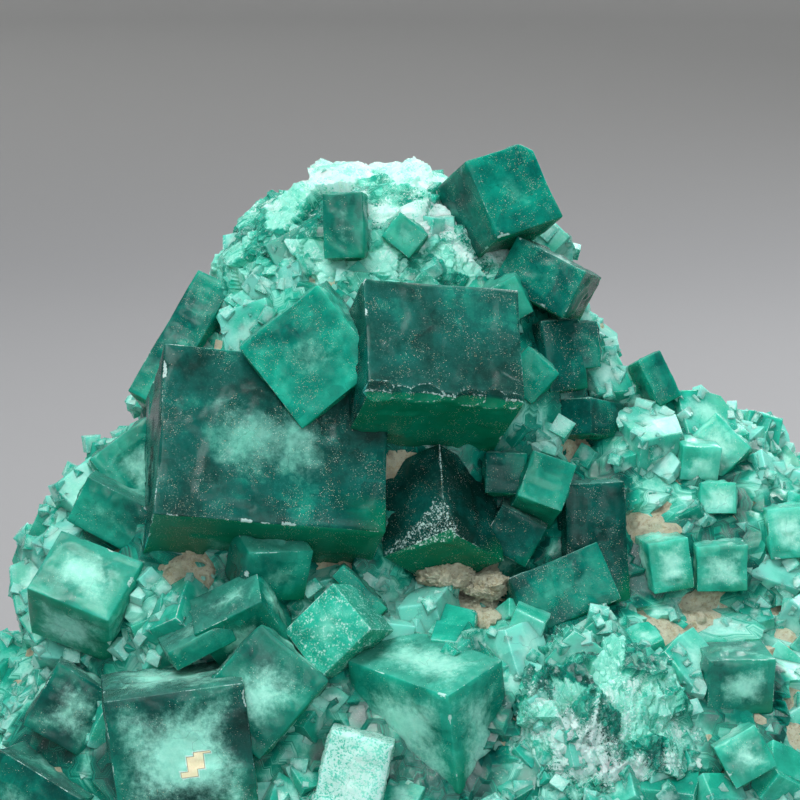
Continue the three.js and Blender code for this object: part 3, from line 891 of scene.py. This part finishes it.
class BuildDruses(bpy.types.Operator):
    """Make the four druses: a fine sugary bed over the rock with small cubes seated in it"""

    bl_idname = "fluorite.druses"
    bl_label = "Druses"

    def execute(self, context):
        look = context.scene.fluorite
        ball, ball_faces = sphere(7)
        for name, (left, right), (front, back), seed in DRUSES:
            ways, faces = ball, ball_faces
            far = reach(ways)
            skin = HEART + ways * far[:, None]
            x, y, z = skin[faces].mean(1).T
            keep = (x > left) & (x < right) & (y > front) & (y < back)
            keep &= (z > DRUSE_HEIGHT[0]) & (z < DRUSE_HEIGHT[1])
            used, local_faces = np.unique(faces[keep], return_inverse=True)
            local_faces = local_faces.reshape(-1, 3)
            ways, far, skin = ways[used], far[used], skin[used]
            bare = waves(skin, 10, 71) + 0.7 * waves(skin, 4.2, 72) + 0.25 * waves(skin, 1.6, 73)
            cover = smooth(bare, -1.25, -0.55) * (1 - bare_spots(skin))
            x, y, _ = skin.T
            inside = np.max([DRUSE_BACK - y, -DRUSE_SIDE - x,
                             np.minimum(x - DRUSE_SIDE, DRUSE_RIGHT_BACK - y)], axis=0)
            cover *= smooth(inside + 3 * waves(skin, 7, 76), 0, 2.5)
            room = clear_of_crystals(skin, 1.8)
            coarse, tint = facets(skin, int(len(skin) * 0.12), 0.14, 0.3, seed)
            fine = 0.12 * waves(skin, 1.3, seed + 1)
            height = look.bed / MM + coarse + fine
            outer = HEART + ways * (far - 0.9 + cover * (height + 0.9))[:, None]
            inner = HEART + ways * (far - 1.6)[:, None]
            points = np.concatenate([outer, inner])
            count = len(outer)
            edges = np.concatenate([local_faces[:, [0, 1]], local_faces[:, [1, 2]],
                                    local_faces[:, [2, 0]]])
            once = {tuple(edge) for edge in edges.tolist()}
            rim = np.array([e for e in edges.tolist() if (e[1], e[0]) not in once])
            walls = np.concatenate([
                np.stack([rim[:, 1], rim[:, 0], rim[:, 0] + count], 1),
                np.stack([rim[:, 1], rim[:, 0] + count, rim[:, 1] + count], 1)])
            all_faces = np.concatenate([local_faces, local_faces[:, ::-1] + count, walls])
            grain = columns(count, 0.3 + 0.5 * tint, 0.3 * tint[::-1], 0)
            # Painted shade: the bed's green darkens and loses its milkiness close to the larger crystals,
            # where shade falls between them.
            shade = (0.62 + 0.3 * tint + 0.15 * waves(skin, 8, 74)) * (0.45 + 0.55 * room)
            kind = columns(count, shade, 0.8 * room, tint * 9)
            obj = make_object(name + "_crust", points, all_faces, (
                ("local", points), ("grain", np.concatenate([grain, grain])),
                ("kind", np.concatenate([kind, kind]))))
            layer = obj.data.attributes.new("cover", "FLOAT", "POINT")
            layer.data.foreach_set("value", np.concatenate([
                (0.05 + 0.95 * cover) * room * smooth(skin[:, 2], 2, 4), cover * 0]))
            obj.data.set_sharp_from_angle(angle=math.radians(25))
            obj.data.materials.append(materials(look)["fluorite_pale"])
            shared = {"Kind low": (0.6, 0.65, 0.0), "Kind high": (1.0, 1.0, 9.0),
                      "Material": materials(look)["fluorite_pale"], "Upright": 0.5}
            scatter(obj, small_cubes(50), {
                **shared, "Spacing": 0.0029, "Density": 6e5, "Smallest": look.cube_middle,
                "Largest": look.cube_large, "Seed": seed, "Lift": -0.3})
            scatter(obj, grains(55), {
                **shared, "Spacing": 0.0014, "Density": 1.5e6, "Smallest": look.cube_small,
                "Largest": look.cube_middle, "Seed": seed + 9, "Lift": -0.45})
            finish_piece(obj, name)
        return {"FINISHED"}


class BuildMasses(bpy.types.Operator):
    """Make the cleaved cap and the fractured mass"""

    bl_idname = "fluorite.masses"
    bl_label = "Broken masses"

    def execute(self, context):
        look = context.scene.fluorite
        for name, centre, half, seed, white, drawn, steep, milk in MASSES:
            ways, faces = sphere(7)
            skin = np.array(centre) + ways * half
            coarse, tint = facets(skin, 260, steep, 2.2 * steep, seed)
            fine, glint = facets(skin * drawn, 3600, steep, 0.6 * steep, seed + 1)
            points = skin + ways * (coarse + fine + 0.4 * waves(skin, 6, seed))[:, None]
            white = np.array(white) / np.linalg.norm(white)
            patch = ways @ white + 0.4 * waves(skin, 8, seed + 2) + 0.3 * waves(skin, 2.5, seed + 3)
            frost = 0.25 + 0.5 * smooth(patch + 0.5 * (tint - 0.5), 0.4, 1.3)
            grain = columns(len(points), 0.25 + 0.6 * tint, np.maximum(frost, 0.4 * glint), 0)
            kind = columns(len(points), milk + 0.6 * (tint - 0.4), milk, glint * 6)
            obj = make_object(name + "_cleavage", points, faces, (
                ("local", points), ("grain", grain), ("kind", kind)))
            layer = obj.data.attributes.new("cover", "FLOAT", "POINT")
            layer.data.foreach_set("value", 0.08 + 0.2 * smooth(frost, 0.3, 0.7))
            obj.data.set_sharp_from_angle(angle=math.radians(25))
            obj.data.materials.append(materials(look)["fluorite_cleaved"])
            pieces = grains(60) if name == "cleaved_cap" else splinters(seed + 5, 1.0)
            scatter(obj, pieces, {
                "Spacing": 0.0013, "Density": 6e5, "Smallest": 0.0005, "Largest": 0.0012,
                "Seed": seed, "Upright": 0.0, "Lift": -0.7, "Kind low": (0.7 * milk, 0.5, 0.0),
                "Kind high": (1.0, 1.0, 9.0), "Material": materials(look)["fluorite_cleaved"]})
            finish_piece(obj, name)
        return {"FINISHED"}


class CrystalBuilder:
    """Shared by the crystal operators: makes every crystal whose slot is the class's family."""

    family = ""

    def execute(self, context):
        look = context.scene.fluorite
        for index, (name, size, centre, turn, shade, cloud, wear, slot) in enumerate(CRYSTALS):
            if slot != self.family:
                continue
            half = np.array(size) / 2
            points, out, quads, rim, frost = crystal_shape(
                half, look.grid / MM, look.bevel / MM, wear, 100 + index, FLATS.get(name, ()),
                SHELLS.get(name, 0), WINDOWS.get(name))
            turned = points @ lean(turn).T
            up = (out @ lean(turn).T)[:, 2]
            # Painted light: painted_light rises on the crystal's lower far side, away from the key lamp,
            # and on faces that point down (a painted glow); faces that point up go below 0, for the
            # painted sheen.
            exit_way = turned / half.mean() @ np.array([0.5, 0.1, -0.85])
            painted_light = smooth(exit_way + 0.25 * waves(points, 6, index), 0.45, 1.4)
            painted_light = np.maximum(painted_light, 0.9 * smooth(-up, 0.25, 0.8)) - smooth(up, 0.4, 0.95)
            obj = make_object(name + "_crystal", turned + centre, quads, (
                ("local", points),
                ("grain", columns(len(points), rim, frost, painted_light)),
                ("kind", columns(len(points), shade, cloud, index * 1.7))))
            obj.data.materials.append(materials(look)[slot])
            finish_piece(obj, name)
        return {"FINISHED"}


class BuildDeep(CrystalBuilder, bpy.types.Operator):
    """Make the deep green crystals"""

    bl_idname = "fluorite.deep_crystals"
    bl_label = "Deep crystals"
    family = "fluorite_deep"


class BuildZoned(CrystalBuilder, bpy.types.Operator):
    """Make the crystals with milky hearts"""

    bl_idname = "fluorite.zoned_crystals"
    bl_label = "Zoned crystals"
    family = "fluorite_zoned"


class BuildPale(CrystalBuilder, bpy.types.Operator):
    """Make the pale crystals"""

    bl_idname = "fluorite.pale_crystals"
    bl_label = "Pale crystals"
    family = "fluorite_pale"


class BuildStage(bpy.types.Operator):
    """Make the floor, lights and camera"""

    bl_idname = "fluorite.stage"
    bl_label = "Stage"

    def execute(self, context):
        look = context.scene.fluorite
        scene = context.scene
        # A round room: a flat floor that bends up into a wall, the same from every side.
        floor_reach, bend, wall, sides = 1.0, 0.3, 1.6, 72
        profile = [(0.001, 0.0), (floor_reach, 0.0)]
        for step in range(1, 17):
            angle = math.pi / 2 * step / 16
            profile.append((floor_reach + bend * math.sin(angle), bend * (1 - math.cos(angle))))
        profile.append((floor_reach + bend, wall))
        points, uvs, faces, along = [], [], [], 0.0
        for index, (far, z) in enumerate(profile):
            if index:
                along += math.dist(profile[index - 1], (far, z))
            for side in range(sides):
                angle = 2 * math.pi * side / sides
                points.append((far * math.sin(angle), far * math.cos(angle), z))
                uvs.append((angle, along))
                if index:
                    here, after = index * sides + side, index * sides + (side + 1) % sides
                    faces.append((here - sides, here, after, after - sides))
        mesh = bpy.data.meshes.new("backdrop")
        mesh.from_pydata(points, [], faces)
        layer = mesh.uv_layers.new(name="sweep")
        for loop in mesh.loops:
            layer.data[loop.index].uv = uvs[loop.vertex_index]
        mesh.polygons.foreach_set("use_smooth", [True] * len(mesh.polygons))
        mesh.materials.append(stage_material(look))
        floor = bpy.data.objects.new("backdrop", mesh)
        scene.collection.objects.link(floor)

        target = Vector((-0.0100, -0.0105, 0.055))
        for name, place, size, energy, tint in (
            ("key", (-0.22, -0.30, 0.72), 0.45, 7.2, (1.0, 0.99, 0.97)),
            ("fill", (0.1, -0.75, 0.3), 0.5, 3.2, (0.93, 0.97, 1.0)),
            ("back", (0.25, 0.33, 0.42), 0.3, 3.0, (1.0, 1.0, 1.0)),
        ):
            lamp = bpy.data.lights.new(name, "AREA")
            lamp.size, lamp.energy, lamp.color = size, energy, tint
            obj = bpy.data.objects.new(name, lamp)
            obj.location = place
            obj.rotation_euler = (target - Vector(place)).to_track_quat("-Z", "Y").to_euler()
            scene.collection.objects.link(obj)
        world = bpy.data.worlds.new("soft_room")
        world.use_nodes = True
        world.node_tree.nodes["Background"].inputs[0].default_value = (0.85, 0.9, 0.95, 1)
        world.node_tree.nodes["Background"].inputs[1].default_value = 0.13
        scene.world = world
        scene.view_settings.view_transform = "Standard"

        camera = bpy.data.cameras.new("camera")
        camera.sensor_width, camera.lens = 36.0, 207.0
        camera.clip_start, camera.clip_end = 0.02, 10.0
        view = bpy.data.objects.new("camera", camera)
        tilt = math.radians(10)
        view.location = target + Vector((0, -math.cos(tilt), math.sin(tilt))) * 0.46
        view.rotation_euler = (math.pi / 2 - tilt, 0, 0)
        scene.collection.objects.link(view)
        scene.camera = view
        return {"FINISHED"}


class FluoritePanel(bpy.types.Panel):
    """Buttons that build each part of the specimen"""

    bl_idname = "VIEW3D_PT_fluorite"
    bl_label = "Fluorite specimen"
    bl_space_type = "VIEW_3D"
    bl_region_type = "UI"
    bl_category = "Fluorite"

    def draw(self, context):
        look = context.scene.fluorite
        for key in FluoriteSettings.__annotations__:
            self.layout.prop(look, key)
        for maker in OPERATORS:
            self.layout.operator(maker.bl_idname)


OPERATORS = (BuildStage, BuildRock, BuildDruses, BuildMasses, BuildDeep, BuildZoned, BuildPale)


def register():
    for made in (FluoriteSettings, *OPERATORS, FluoritePanel):
        bpy.utils.register_class(made)
    bpy.types.Scene.fluorite = bpy.props.PointerProperty(type=FluoriteSettings)


def unregister():
    del bpy.types.Scene.fluorite
    for made in (FluoritePanel, *reversed(OPERATORS), FluoriteSettings):
        bpy.utils.unregister_class(made)


def main():
    register()
    bpy.ops.fluorite.stage()
    bpy.ops.fluorite.rock()
    bpy.ops.fluorite.druses()
    bpy.ops.fluorite.masses()
    bpy.ops.fluorite.deep_crystals()
    bpy.ops.fluorite.zoned_crystals()
    bpy.ops.fluorite.pale_crystals()


if __name__ == "__main__":
    main()
